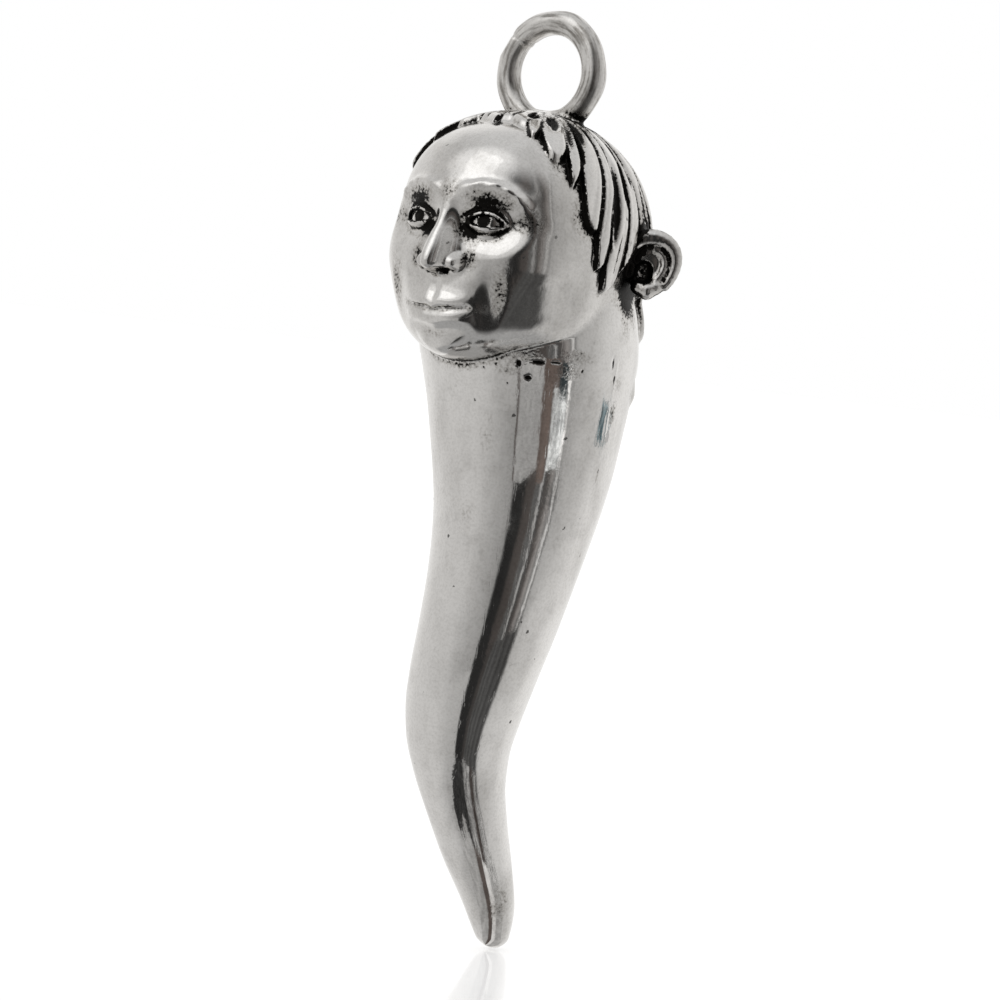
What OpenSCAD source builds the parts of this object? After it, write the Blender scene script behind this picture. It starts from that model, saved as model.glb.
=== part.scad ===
// Cast horn pendant: a tapering, gently twisted horn that grows out of a small human head,
// with a round wire ring soldered to the crown.
// Z is up as the pendant hangs, the face looks along -Y, and the origin is where a chain bears
// on the inside of the ring. The casting is solid and the ring is soldered on, so it is one piece.

/* [Ring] */
// Thickness of the ring's wire
ring_wire = 1.15; // [0.8:0.05:1.6]
// Inside diameter of the ring
ring_bore = 3.6; // [2.8:0.1:5]
// Height of the ring's inside above the crown; the rest of the wire is sunk and soldered
ring_lift = 0.05; // [0:0.05:0.5]
// Width of the saw cut where the ring was closed
ring_cut = 0.06; // [0.04:0.01:0.15]
// Place of that cut, in degrees from the top of the ring
ring_cut_angle = 50; // [20:5:90]
// Slant of that cut across the wire, in degrees
ring_cut_slant = 22; // [0:2:40]
// Width of the solder at the foot of the ring
solder_w = 3.2; // [2:0.1:4.5]

/* [Head] */
// Height of the head, from crown to chin
head_h = 12.6; // [11:0.1:14]
// Width of the head over the hair
head_w = 11.6; // [9.5:0.1:12.5]
// Depth of the head, from brow to back
head_d = 12.9; // [11:0.1:14.5]
// How far the head's middle stands in front of the ring
head_forward = 0.9; // [0:0.1:2]
// Backward tilt of the head, in degrees
head_tilt = 7; // [0:1:14]
// How far the nose stands out
nose_out = 1.5; // [0.8:0.1:2]
// Radius of the eyeballs
eye_r = 1.3; // [1:0.05:1.6]
// Thickness of the eyelids
lid = 0.16; // [0.1:0.02:0.3]
// Thickness of the lips
lip = 0.8; // [0.5:0.05:1.1]

/* [Ears] */
// Height of an ear, between the middles of its rim
ear_h = 2.8; // [2.2:0.1:3.6]
// Depth of an ear, from front to back, between the middles of its rim
ear_d = 2.3; // [1.6:0.1:2.8]
// Thickness of an ear's rim
ear_rim = 0.75; // [0.4:0.05:1]
// Angle by which an ear stands off the head, in degrees
ear_flare = 54; // [20:1:62]

/* [Hair] */
// Thickness of the hair over the skin
hair_rise = 0.4; // [0.2:0.05:0.8]
// Number of locks round the head
locks = 20; // [12:4:24]
// Depth of the grooves between the locks
lock_depth = 0.32; // [0.1:0.02:0.4]

/* [Horn] */
// Length of the horn below the jaw
horn_l = 28.4; // [22:0.2:36]
// Width of the horn at its neck
neck_w = 10.4; // [8.6:0.1:11]
// How far the horn swings out of the vertical
horn_sway = 1.9; // [0.5:0.1:3]
// Height by which the horn's neck overlaps the chin
neck_overlap = 1.45; // [0.6:0.05:2.5]

/* [Hidden] */
silver = [0.78, 0.78, 0.76];
// Mesh steps of the horn, and of an ear's rim and a lip
horn_rows = 30;
horn_sides = 32;
bead_rows = 9;
bead_sides = 8;

// Levels and places, all hung from the origin
crown_z = -ring_bore - ring_lift;
head_z = crown_z - head_h / 2;
neck_z = crown_z - head_h + neck_overlap;
half_w = head_w / 2 - hair_rise;
half_d = head_d / 2 - hair_rise;
half_h = head_h / 2 - hair_rise;
// The face is laid out in thirds of the height from hairline to chin
third = head_h / 3.5;

// Broad forms of the skull and face, mirrored about the middle. Angles are in degrees from the
// head's middle: AZ from the front, EL above the level, HALF_AZ and HALF_EL the reach of the
// form. RISE is a share of the head's height, and less than nothing is a hollow.
AZ = 0;
EL = 1;
HALF_AZ = 2;
HALF_EL = 3;
RISE = 4;
FORMS = [
    [0, 30, 62, 28, 0.030],    // forehead
    [0, 9, 46, 13, 0.016],     // brow ridge
    [20, -1, 19, 12, -0.052],  // eye socket
    [38, -15, 26, 18, 0.024],  // cheekbone
    [0, -48, 80, 36, 0.086],   // lower face, forward of the skull
    [0, -47, 20, 12, 0.036],   // chin
    [0, -41, 14, 5, -0.016],   // dip below the lower lip
    [70, -42, 34, 26, 0.036],  // angle of the jaw
    [64, 16, 22, 22, -0.012],  // temple
];

// Edge of the hair: how high it starts above the level, for each angle from the front
HAIRLINE = [
    [0, 50], [22, 50], [40, 42], [58, 26], [68, 4], [78, -8], [90, -8], [97, 12],
    [106, 14], [116, -12], [130, -34], [180, -40],
];
// How much further a lock's point reaches than the grooves beside it
lock_reach = 10;

// Where the front of an ear meets the head
ear_az = 105;
ear_el = -4;

// The horn from neck to tip: DOWN is the share of its length, SIDE and BACK are shares of the
// sway, WIDE is the share of the neck's width. The rows above the neck close it in the head.
DOWN = 0;
SIDE = 1;
BACK = 2;
WIDE = 3;
HORN = [
    [-0.160, 0.04, 0.02, 0.000],
    [-0.158, 0.04, 0.02, 0.500],
    [-0.140, 0.05, 0.02, 0.800],
    [-0.115, 0.07, 0.03, 0.935],
    [-0.070, 0.10, 0.06, 0.990],
    [0.000, 0.17, 0.12, 1.000],
    [0.095, 0.29, 0.15, 0.900],
    [0.194, 0.40, 0.08, 0.810],
    [0.260, 0.43, 0.00, 0.745],
    [0.327, 0.42, -0.16, 0.690],
    [0.390, 0.37, -0.31, 0.646],
    [0.458, 0.28, -0.47, 0.610],
    [0.525, 0.14, -0.60, 0.574],
    [0.590, 0.00, -0.67, 0.535],
    [0.658, -0.11, -0.62, 0.462],
    [0.722, -0.10, -0.36, 0.398],
    [0.789, 0.00, 0.04, 0.353],
    [0.856, 0.15, 0.42, 0.308],
    [0.922, 0.38, 0.76, 0.231],
    [0.954, 0.44, 0.87, 0.160],
    [0.985, 0.48, 0.96, 0.090],
    [1.000, 0.50, 0.99, 0.000],
];
// Half the height over which the corners of that table are rounded off, as a share of the length
horn_blend = 0.02;

function direction(az, el) = [cos(el) * sin(az), -cos(el) * cos(az), sin(el)];

// A smooth hill of height 1 at the middle that ends at a reach of 1
function hill(s2) = s2 >= 1 ? 0 : pow(1 - s2, 2);

// Smooth step from 0 below lo to 1 above hi
function step(v, lo, hi) = let (s = max(0, min(1, (v - lo) / (hi - lo)))) s * s * (3 - 2 * s);

// Angle from the front, from 0 to 180 on either side
function from_front(az) = abs(az > 180 ? az - 360 : az);

function total(list, i = 0) = i < len(list) ? list[i] + total(list, i + 1) : 0;

// The skull is an ellipsoid, made a little fuller by an exponent over 2
fullness = 2.25;
function skull(d) =
    let (share = [abs(d[0]) / half_w, abs(d[1]) / half_d, abs(d[2]) / half_h])
    pow(total([for (s = share) pow(s, fullness)]), -1 / fullness);

function relief(az, el) = head_h * total([
    for (f = FORMS)
        f[RISE] * hill(pow((az - f[AZ]) / f[HALF_AZ], 2) + pow((el - f[EL]) / f[HALF_EL], 2))
]);

// Hair stands over the skin above the hairline, in pointed locks that spread from the crown
function hair(az, el) =
    let (lock = abs(sin(locks * az / 2)))
    let (cover = step(el - lookup(az, HAIRLINE) + lock_reach * lock, 0, 5))
    cover * (hair_rise - lock_depth * (1 - lock) * cos(el));

// Distance from the head's middle to its surface
function head_r(az, el) =
    let (a = from_front(az)) skull(direction(a, el)) + relief(a, el) + hair(a, el);

function on_head(az, el, lift = 0) = direction(az, el) * (head_r(az, el) + lift);

// The head's mesh is finest over the face. Its columns fall on the locks' grooves.
COLUMNS = concat([for (az = [-108:3.6:104.4]) az], [for (az = [108:6:246]) az]);
ROWS = concat([for (el = [83:-7:48]) el], [for (el = [45:-3:-60]) el], [for (el = [-66:-8:-82]) el]);

// Place, width and level along the horn, with the table's corners rounded off
function along(t, col) = lookup(t, [for (r = HORN) [r[DOWN], r[col]]]);
function rounded(t, col) =
    (along(t - horn_blend, col) + 2 * along(t, col) + along(t + horn_blend, col)) / 4;
function horn_w(t) = neck_w * (t > 0.94 || t < -0.08 ? along(t, WIDE) : rounded(t, WIDE));
function horn_at(t) = [
    horn_sway * rounded(t, SIDE),
    horn_sway * rounded(t, BACK),
    neck_z - horn_l * t,
];
// The horn's rows lie closer together towards the tip
function horn_t(k) = let (top = HORN[0][DOWN]) 1 - (1 - top) * pow(1 - k / horn_rows, 1.3);

function unit(v) = v / norm(v);

// A closed skin over rings of points, capped by a first and a last point
module skin(first, rings, last) {
    n = len(rings[0]);
    m = len(rings);
    points = concat([first], [for (r = rings) each r], [last]);
    walls = [
        for (j = [0:m - 2], i = [0:n - 1])
            let (a = 1 + j * n + i, b = 1 + j * n + (i + 1) % n)
                each [[a, b, b + n], [a, b + n, a + n]]
    ];
    top = [for (i = [0:n - 1]) [0, 1 + (i + 1) % n, 1 + i]];
    end = 1 + (m - 1) * n;
    bottom = [for (i = [0:n - 1]) [end + n, end + i, end + (i + 1) % n]];
    polyhedron(points, concat(top, walls, bottom));
}

// A bead of metal along a path that lies across the direction given, with a radius at each point
module bead(path, radii, across) {
    last = len(path) - 1;
    function ring_of(k) =
        let (t = unit(path[min(last, k + 1)] - path[max(0, k - 1)]))
        let (u = unit(cross(t, across)), w = cross(u, t))
        [
            for (i = [0:bead_sides - 1])
                let (a = 360 * i / bead_sides) path[k] + radii[k] * (cos(a) * u + sin(a) * w)
        ];
    start = path[0] - radii[0] * unit(path[1] - path[0]);
    end = path[last] + radii[last] * unit(path[last] - path[last - 1]);
    skin(start, [for (k = [0:last]) ring_of(k)], end);
}

module ring() {
    mean_r = (ring_bore + ring_wire) / 2;
    translate([0, 0, -ring_bore / 2])
        rotate([90, 0, 0])
            difference() {
                rotate_extrude($fn = 48)
                    translate([mean_r, 0])
                        circle(d = ring_wire, $fn = 24);
                rotate([0, 0, 90 + ring_cut_angle])
                    translate([mean_r, 0, 0])
                        rotate([0, 0, ring_cut_slant])
                            cube([2 * ring_wire, ring_cut, 2 * ring_wire], center = true);
            }
}

module solder() {
    translate([0, 0, crown_z - ring_wire / 2])
        scale([solder_w / 2, ring_wire, ring_wire / 2])
            sphere(1, $fn = 20);
}

module skull_and_hair() {
    skin(
        on_head(0, 90),
        [for (el = ROWS) [for (az = COLUMNS) on_head(az, el)]],
        on_head(0, -90)
    );
}

module ball(at, r) {
    translate(at)
        sphere(r, $fn = 16);
}

// Nose from between the brows to a third of the face below them, with its two wings
module nose() {
    bridge_r = third * 0.17;
    tip_r = third * 0.2;
    wing_r = third * 0.15;
    tip = on_head(0, -19.5) + [0, tip_r - nose_out, third * 0.06];
    hull() {
        ball(on_head(0, 7, -bridge_r), bridge_r);
        ball(tip, tip_r);
        ball(on_head(0, -22, -tip_r), tip_r);
    }
    for (side = [-1, 1])
        hull() {
            ball(tip + [side * wing_r * 1.1, wing_r * 2, -wing_r * 0.2], wing_r);
            ball(on_head(side * 8.5, -21.5, -wing_r), wing_r);
        }
}

// An eyeball between two lids that meet at its corners
module eye(side) {
    upper = 20;
    lower = 17;
    translate(on_head(side * 19, 0, -eye_r * 0.62))
        rotate([0, 0, side * 14]) {
            sphere(eye_r, $fn = 24);
            for (open = [-upper, lower])
                difference() {
                    sphere(eye_r + lid, $fn = 24);
                    rotate([open, 0, 0])
                        translate([0, 0, 2 * eye_r * sign(open)])
                            cube(4 * eye_r, center = true);
                }
        }
}

module lips() {
    reach = 14;
    for (row = [[-34.2, -32.2, 0.42], [-34.8, -37.2, 0.5]])
        bead(
            [
                for (k = [0:bead_rows - 1])
                    let (s = 2 * k / (bead_rows - 1) - 1)
                    on_head(reach * s, row[0] + (row[1] - row[0]) * (1 - s * s), -lip * 0.12)
            ],
            [
                for (k = [0:bead_rows - 1])
                    let (s = 2 * k / (bead_rows - 1) - 1) lip * (0.12 + (row[2] - 0.12) * (1 - s * s))
            ],
            [0, 0, 1]
        );
}

// An ear: a rim that runs from the temple over the top and round the back, with a fold inside
// it, a dish and a lobe
module ear(side) {
    function curve(from, turn, share) = [
        for (k = [0:bead_rows])
            let (a = from + turn * k / bead_rows, upper = 1 + 0.18 * sin(a))
            share * [0, -ear_d / 2 * upper * cos(a), ear_h / 2 * sin(a)]
    ];
    path = curve(-25, 285, 1);
    fold = curve(70, 160, 0.5);
    translate(on_head(side * ear_az, ear_el, -ear_rim * 0.6))
        rotate([0, 0, -side * ear_flare])
            translate([0, ear_d / 2, 0]) {
                bead(path, [for (k = [0:bead_rows]) ear_rim / 2], [1, 0, 0]);
                bead(fold, [for (k = [0:bead_rows]) ear_rim / 3], [1, 0, 0]);
                scale([ear_rim * 0.3, ear_d / 2, ear_h / 2])
                    sphere(1, $fn = 14);
                translate([0, -ear_d * 0.12, -ear_h * 0.42])
                    sphere(ear_rim * 0.6, $fn = 14);
            }
}

module head() {
    translate([0, -head_forward, head_z])
        rotate([-head_tilt, 0, 0]) {
            skull_and_hair();
            nose();
            lips();
            for (side = [-1, 1]) {
                eye(side);
                ear(side);
            }
        }
}

module horn() {
    function ring_of(t) = [
        for (i = [0:horn_sides - 1])
            let (a = 360 * i / horn_sides) horn_at(t) + horn_w(t) / 2 * [cos(a), sin(a), 0]
    ];
    skin(horn_at(HORN[0][DOWN]), [for (k = [1:horn_rows - 1]) ring_of(horn_t(k))], horn_at(1));
}

// Head, horn and solder, brought to their exact height from the crown to the tip
module casting() {
    translate([0, 0, crown_z])
        resize([0, 0, crown_z - neck_z + horn_l])
            translate([0, 0, -crown_z]) {
                solder();
                head();
                horn();
            }
}

module horn_pendant() {
    color(silver) {
        ring();
        casting();
    }
}

horn_pendant();
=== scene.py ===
import math
import bpy
import numpy as np
from mathutils import Matrix, Vector


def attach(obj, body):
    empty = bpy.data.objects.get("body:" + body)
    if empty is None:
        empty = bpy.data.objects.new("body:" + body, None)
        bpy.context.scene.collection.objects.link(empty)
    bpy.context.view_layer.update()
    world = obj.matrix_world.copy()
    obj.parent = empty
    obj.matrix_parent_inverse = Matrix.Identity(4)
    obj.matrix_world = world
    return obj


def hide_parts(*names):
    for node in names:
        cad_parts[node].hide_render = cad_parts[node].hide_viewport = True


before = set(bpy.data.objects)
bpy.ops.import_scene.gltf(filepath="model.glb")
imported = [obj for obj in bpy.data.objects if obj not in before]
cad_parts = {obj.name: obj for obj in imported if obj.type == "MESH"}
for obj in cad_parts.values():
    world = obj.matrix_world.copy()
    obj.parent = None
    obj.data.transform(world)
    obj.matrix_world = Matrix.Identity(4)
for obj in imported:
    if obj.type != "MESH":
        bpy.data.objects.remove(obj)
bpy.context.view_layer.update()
mm = 0.001
scene = bpy.context.scene
print("frame loaded:", list(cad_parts))

# The shapes below are distance fields in millimetres, in the frame of the CAD part.
# Points are arrays of shape (n, 3), and a field is negative inside the metal.


def blendMin(a, b, k):
    h = np.clip(0.5 + 0.5 * (b - a) / k, 0.0, 1.0)
    return b + (a - b) * h - k * h * (1.0 - h)


def blendMax(a, b, k):
    return -blendMin(-a, -b, k)


def hill(s2):
    return np.where(s2 < 1.0, (1.0 - np.minimum(s2, 1.0)) ** 2, 0.0)


def bell(v):
    return np.exp(-v * v)


def smoothStep(v, low, high):
    s = np.clip((v - low) / (high - low), 0.0, 1.0)
    return s * s * (3.0 - 2.0 * s)


def sizeOf(v):
    return np.linalg.norm(v, axis=1)


def sinOf(degrees):
    return np.sin(np.radians(degrees))


def cosOf(degrees):
    return np.cos(np.radians(degrees))


def turnBy(x, y, degrees):
    # the pair turned from the first axis towards the second
    c, s = cosOf(degrees), sinOf(degrees)
    return x * c - y * s, x * s + y * c


def eggField(p, centre, size):
    # close to the true distance from an ellipsoid on both sides of its skin
    size = np.asarray(size, float)
    d = (p - centre) / size
    k0 = sizeOf(d)
    return k0 * (k0 - 1.0) / np.maximum(sizeOf(d / size), 1e-6)


def coneField(p, a, b, ra, rb):
    # rounded cone from a to b
    a = np.asarray(a, float)
    ab = np.asarray(b, float) - a
    t = np.clip((p - a) @ ab / (ab @ ab), 0.0, 1.0)
    return sizeOf(p - a - t[:, None] * ab) - (ra + (rb - ra) * t)


def chainField(p, points, radii, k=0.0):
    f = None
    for i in range(len(points) - 1):
        g = coneField(p, points[i], points[i + 1], radii[i], radii[i + 1])
        f = g if f is None else (blendMin(f, g, k) if k > 0 else np.minimum(f, g))
    return f


# --- head ---
head = {
    "crown": -3.65, "height": 12.6, "width": 11.6, "depth": 12.9, "forward": 0.9, "tilt": 7.0, "fullness": 2.25,
    # azimuth, elevation, half reach each way, rise as a share of the height
    "forms": [
        (0, 30, 62, 28, 0.03), (0, 9, 46, 13, 0.016), (20, -1, 22, 15, -0.038), (40, -17, 30, 22, 0.018),
        (0, -48, 72, 35, 0.084), (0, -49, 19, 12, 0.036), (0, -42, 17, 7, -0.016), (70, -42, 34, 26, 0.03),
        (64, 16, 22, 22, -0.012), (26, -31, 9, 16, -0.01),
    ],
}
hair = {
    "rise": 0.32, "lockDepth": 0.2, "strandDepth": 0.035, "slots": 52, "slotWidth": 0.16, "slotDepth": 0.27,
    # where the hair ends on the skin, by azimuth
    "line": [(0, 52), (22, 52), (42, 44), (60, 27), (70, 6), (79, -8), (91, -9), (98, 12), (106, 14), (116, 6),
             (128, -10), (148, -20), (180, -24)],
    # where one lock ends and the next begins, by azimuth, on the two sides of the head
    "left": [0, 13, 21, 35, 44, 59, 67, 80, 93, 108, 117, 131, 140, 156, 166, 180],
    "right": [0, 9, 24, 33, 49, 57, 71, 79, 91, 101, 116, 128, 145, 152, 168, 180],
}
headAt = np.array([0.0, -head["forward"], head["crown"] - head["height"] / 2])
halfSize = np.array([head["width"], head["depth"], head["height"]]) / 2 - 0.4


def toHead(p):
    q = p - headAt
    return np.stack([q[:, 0], *turnBy(q[:, 1], q[:, 2], head["tilt"])], 1)


def headAngles(q):
    # azimuth from the front, 0 to 180 on either side, and elevation, in degrees
    flat = np.maximum(np.hypot(q[:, 0], q[:, 1]), 1e-6)
    return np.degrees(np.arctan2(np.abs(q[:, 0]), -q[:, 1])), np.degrees(np.arctan2(q[:, 2], flat))


def skinRadius(az, el):
    ca, sa = cosOf(az), sinOf(az)
    ce, se = cosOf(el), sinOf(el)
    n = head["fullness"]
    d = (np.abs(ce * sa) / halfSize[0]) ** n + (np.abs(ce * ca) / halfSize[1]) ** n + (np.abs(se) / halfSize[2]) ** n
    r = d ** (-1.0 / n)
    for a, e, ha, he, rise in head["forms"]:
        r = r + head["height"] * rise * hill(((az - a) / ha) ** 2 + ((el - e) / he) ** 2)
    return r


def makeSlots():
    # long pointed cuts that follow the strands down from the crown: azimuth, top, bottom, curl, width, depth
    rng = np.random.default_rng(11)
    slots = []
    for i in range(hair["slots"]):
        a = -180 + 360 * (i + rng.uniform(0.1, 0.9)) / hair["slots"]
        line = float(np.interp(abs(a), *zip(*hair["line"])))
        top = line + (76 - line) * rng.uniform(0.35, 1.0)
        length = rng.uniform(16, 46)
        bottom = max(line + 7, top - length)
        if top - bottom > 8:
            slots.append((a, top, bottom, rng.uniform(-7, 7), hair["slotWidth"] * rng.uniform(0.6, 1.25),
                          hair["slotDepth"] * rng.uniform(0.6, 1.15)))
    return slots


hairSlots = makeSlots()


def hairRise(az, el, side):
    # height of the hair over the skin, and how deep a point lies between strands
    sway = az + 2.5 * sinOf(el * 2.6 + az * 1.7 + 60 * side) * cosOf(np.clip(el, -90, 80))
    sway = np.clip(sway, 0, 180)
    steps = np.arange(len(hair["left"])) * 180.0
    phase = np.where(side < 0, np.interp(sway, hair["left"], steps), np.interp(sway, hair["right"], steps))
    lock = np.abs(sinOf(phase))
    strand = np.abs(sinOf(phase * 1.5 + 90 + 20 * sinOf(el * 4 + az)))
    line = np.interp(az, *zip(*hair["line"])) + 2.5 * sinOf(az * 6.3 + 55 * side)
    cover = smoothStep(el - line + 12.0 * lock * smoothStep(az, 10, 50), 0.0, 5.5)
    fade = cosOf(np.clip(el, -80, 86))
    gap = (1.0 - lock) ** 3
    line2 = (1.0 - strand) ** 1.5
    rise = hair["rise"] - hair["lockDepth"] * gap * fade - hair["strandDepth"] * line2 * fade
    cut = np.zeros(len(az))
    signed = az * side
    for a, top, bottom, curl, width, depth in hairSlots:
        span = (el - bottom) / (top - bottom)
        near = (span > 0) & (span < 1)
        near[near] = np.abs((signed[near] - a + 180) % 360 - 180) < 14
        if near.any():
            t = span[near]
            d = (signed[near] - a - curl * (t - 0.5) ** 2 + 180) % 360 - 180
            across = np.radians(d) * 6.2 * cosOf(el[near])
            shape = np.sin(np.pi * t ** 0.8) ** 0.8
            cut[near] = np.maximum(cut[near], depth * shape * bell(across / (width * (0.35 + 0.65 * shape))))
    vary = smoothStep(sinOf(el * 5.5 + np.floor(phase / 180) * 137 + 70 * side), -0.5, 0.6)
    groove = cover * np.clip(fade * ((0.12 + 0.42 * vary) * gap + 0.06 * line2) + 1.1 * cut / hair["slotDepth"], 0, 1)
    return cover * (rise - cut), groove


def onHead(az, el, lift=0.0):
    r = float(skinRadius(np.array([abs(az)], float), np.array([el], float))[0]) + lift
    return r * np.array([cosOf(el) * sinOf(az), -cosOf(el) * cosOf(az), sinOf(el)])


face = {
    "eyeR": 1.0, "lid": 0.16, "eyeHalf": 0.92, "upper": 0.34, "lower": 0.25, "mouth": 1.6, "mouthZ": -3.6,
    # height on the head, and how far the nose stands out there or its half width
    "noseOut": [(-2.8, 0), (-2.6, 0.06), (-2.4, 0.38), (-2.2, 0.95), (-2.0, 1.3), (-1.8, 1.36), (-1.5, 1.24),
                (-1.0, 0.93), (-0.4, 0.58), (0.2, 0.28), (0.6, 0.12), (1.0, 0.08), (1.5, 0.05), (2.2, 0)],
    "noseHalf": [(-2.8, 0.6), (-2.2, 0.62), (-1.7, 0.68), (-1.2, 0.62), (-0.6, 0.52), (0.2, 0.44), (0.8, 0.46),
                 (1.5, 0.6)],
    # how far out from the middle, and how high, the brow lies
    "brow": [(0.3, 1.25), (0.6, 1.34), (1.3, 1.58), (2.1, 1.68), (2.9, 1.46), (3.7, 0.98)],
}
eyeAt = onHead(19, 0, -face["eyeR"] * 0.6)


def softCurve(table, blur):
    # a table with its corners rounded off, for np.interp
    x = np.linspace(table[0][0], table[-1][0], 600)
    kernel = bell(np.arange(-80, 81) * (x[1] - x[0]) / (1.4 * blur))
    return x, np.convolve(np.pad(np.interp(x, *zip(*table)), 80, mode="edge"), kernel / kernel.sum(), "valid")


noseOut, noseHalf = softCurve(face["noseOut"], 0.09), softCurve(face["noseHalf"], 0.2)
browLine = softCurve(face["brow"], 0.2)


def facePlace(az, el):
    # millimetres out from the middle of the face, height, and height over the line between the lips
    x = 6.3 * sinOf(az) * cosOf(el)
    z = 6.3 * sinOf(el)
    return x, z, z - face["mouthZ"] + 0.05 * bell(x / 0.4) - 0.05 * (x / face["mouth"]) ** 2


def faceRise(az, el):
    # nose with its wings and openings, lips, the furrow over them and the brows, as a height over the skin
    x, z, v = facePlace(az, el)
    nose = np.interp(z, *noseOut) * np.exp(-np.abs(x / np.interp(z, *noseHalf)) ** 2.3)
    wing = 0.6 * np.exp(-(((x - 0.8) / 0.36) ** 2 + ((z + 1.9) / 0.36) ** 2) ** 1.3)
    rise = (nose ** 4 + wing ** 4) ** 0.25 - 0.4 * bell((x - 0.4) / 0.2) * bell((z + 2.28) / 0.13)
    corner = np.clip(1 - (x / (1.08 * face["mouth"])) ** 2, 0, 1) ** 1.3
    bow = 0.23 + 0.05 * bell((x - 0.36) / 0.25) - 0.03 * bell(x / 0.15)
    rise += corner * (0.26 * bell((v - bow) / 0.22) + 0.38 * bell((v + 0.31) / 0.26))
    rise -= 0.09 * bell(v / 0.09) * (1 - smoothStep(x, 1.4, 1.7))
    rise += bell((z + 2.85) / 0.3) * (0.025 * bell((x - 0.33) / 0.16) - 0.035 * bell(x / 0.18))
    strokes = cosOf(x * 500 - z * 420)
    brow = 0.17 * bell((z - np.interp(x, *browLine)) / 0.24) * smoothStep(x, 0.3, 0.9) * (1 - smoothStep(x, 3.1, 3.9))
    return rise + brow * (0.9 + 0.1 * strokes)


def eyeFrame(q):
    # across the eye, out of it (negative is outward) and up it
    d = q - eyeAt
    return *turnBy(d[:, 0], d[:, 1], -12), d[:, 2]


def eyeFields(q):
    # eyeball, lids as a shell with an almond opening, and the folds above and below them
    x, y, z = eyeFrame(q)
    dist = np.sqrt(x * x + y * y + z * z)
    front = y < 0
    iris = np.hypot(x + 0.04, z - 0.05)
    ball = dist - face["eyeR"] + np.where(front, 0.06 * (1 - smoothStep(iris, 0.24, 0.34)), 0)
    u = np.clip(x / face["eyeHalf"], -1.4, 1.4)
    arch = 1 - np.abs(u - 0.08 * (1 - u * u)) ** 2.1
    over, under = face["upper"] * arch, -face["lower"] * arch
    opening = np.maximum(z - over, under - z) / np.sqrt(1 + (0.9 * u) ** 2)
    lids = blendMax(dist - face["eyeR"] - face["lid"], -opening, 0.08)
    rim = 0.05 * bell((opening - 0.07) / 0.07)
    sink = 0.6 * smoothStep(under - z, 0.12, 0.8) + 0.2 * smoothStep(z - over, 0.4, 0.9)
    lids = lids - np.where(front, rim, 0) + sink
    fold = 0.09 * bell((z - over - 0.27) / 0.07) + 0.03 * bell((z - under + 0.3) / 0.09)
    fold = np.where(front & (np.abs(u) < 1.25), fold * (1 - np.abs(u / 1.25) ** 4), 0)
    return ball, lids, fold


ear = {"height": 2.8, "depth": 2.2, "rim": 0.72, "flare": 54.0, "az": 105.0, "el": -4.0}
earAt = onHead(ear["az"], ear["el"], 0.2 - ear["rim"] * 0.6) + np.array([0, 0, 0.25])


def earField(q):
    # in the ear's own frame: x out of its plane towards the head's front, y to its back edge
    d = q - earAt
    x, y = turnBy(d[:, 0], d[:, 1], ear["flare"])
    e = np.stack([x, y - ear["depth"] / 2, d[:, 2]], 1)

    def curve(turns, share, out):
        # round the ear from its root at the front, over the top and down the back edge
        a = np.radians(turns)
        wide = 1 + 0.22 * np.sin(a)
        return np.stack([np.full(len(a), out), -ear["depth"] / 2 * wide * np.cos(a) * share,
                         ear["height"] / 2 * np.sin(a) * share], 1)

    rim = ear["rim"] / 2
    turns = np.linspace(-8, 212, 19)
    thick = np.interp(turns, (-8, 30, 80, 140, 212), (0.55, 0.95, 1.1, 0.95, 0.65)) * rim
    f = chainField(e, curve(turns, 0.98, 0), thick, 0.06)
    f = blendMin(f, eggField(e, (-0.1, 0, 0.1), (0.24, 1.0, 1.35)), 0.12)
    # inner fold, forked at its top, then the lobe and the small flap before the pit
    fold = curve((100, 118, 136, 154, 172, 190, 210, 230), 0.56, 0.02)
    f = blendMin(f, chainField(e, fold, (0.17, 0.19, 0.2, 0.21, 0.22, 0.22, 0.2, 0.18)), 0.1)
    f = blendMin(f, coneField(e, (0.02, -0.28, 0.72), (0.02, 0.18, 0.95), 0.14, 0.16), 0.1)
    lobe = [(0, 0.4, -0.9), (0.02, 0.02, -1.12), (0, -0.42, -1.02)]
    f = blendMin(f, chainField(e, lobe, (0.32, 0.38, 0.32), 0.1), 0.18)
    f = blendMin(f, coneField(e, (0.12, -0.86, -0.42), (0.14, -0.86, -0.12), 0.26, 0.2), 0.14)
    return blendMax(f, -eggField(e, (0.16, -0.28, -0.28), (0.36, 0.42, 0.52)), 0.08)


def headFields(p):
    q = toHead(p)
    side = np.where(q[:, 0] < 0, -1.0, 1.0)
    m = q.copy()
    m[:, 0] = np.abs(m[:, 0])
    r = np.maximum(sizeOf(q), 1e-6)
    az, el = headAngles(q)
    rise, groove = hairRise(az, el, side)
    f = 0.92 * (r - skinRadius(az, el))

    near = (m[:, 0] < 4.6) & (q[:, 1] < -2.0) & (q[:, 2] > -5.6) & (q[:, 2] < 3.6)
    if near.any():
        g = f[near] - 0.92 * faceRise(az[near], el[near])
        ball, lids, fold = eyeFields(m[near])
        f[near] = blendMin(blendMin(g, lids, 0.34) + fold, ball, 0.02)
    near = (m[:, 0] > 4.0) & (np.abs(q[:, 2]) < 4.0) & (q[:, 1] > -1.5) & (q[:, 1] < 5.5)
    earPart = np.full(len(p), 9.0)
    if near.any():
        earPart[near] = earField(m[near])
    return f, earPart, 0.92 * rise * (r > 3), groove


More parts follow.
